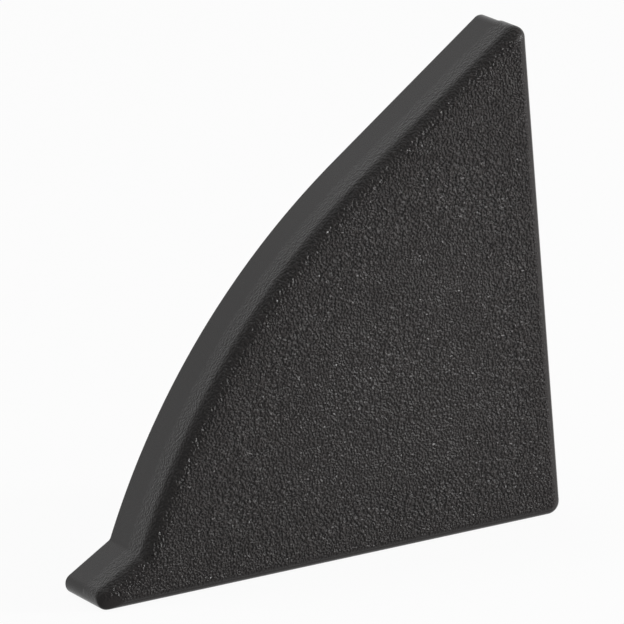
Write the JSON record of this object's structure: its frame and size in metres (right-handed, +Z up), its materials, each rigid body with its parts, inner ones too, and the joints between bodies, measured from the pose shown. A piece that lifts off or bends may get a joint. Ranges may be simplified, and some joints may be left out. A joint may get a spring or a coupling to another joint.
{
  "type": "profile end cap",
  "caption": "Moulded end cap with a grained triangular face, curved slope and small lip; two tongues plug into the hollow end of a worktop-to-wall sealing strip.",
  "frame": {"origin": "the corner where the wall plane, the worktop plane and the cut end of the strip meet", "axes": "+Y runs along the strip, away from the cap's outer face; +X points into the wall; +Z points up from the worktop"},
  "size_m": [0.03, 0.0121, 0.0295],
  "materials": {
    "grained_plastic": "leather grain on the outer face, satin on the rim"
  },
  "bodies": {
    "root": {"end_cap": "grained_plastic"}
  },
  "joints": []
}
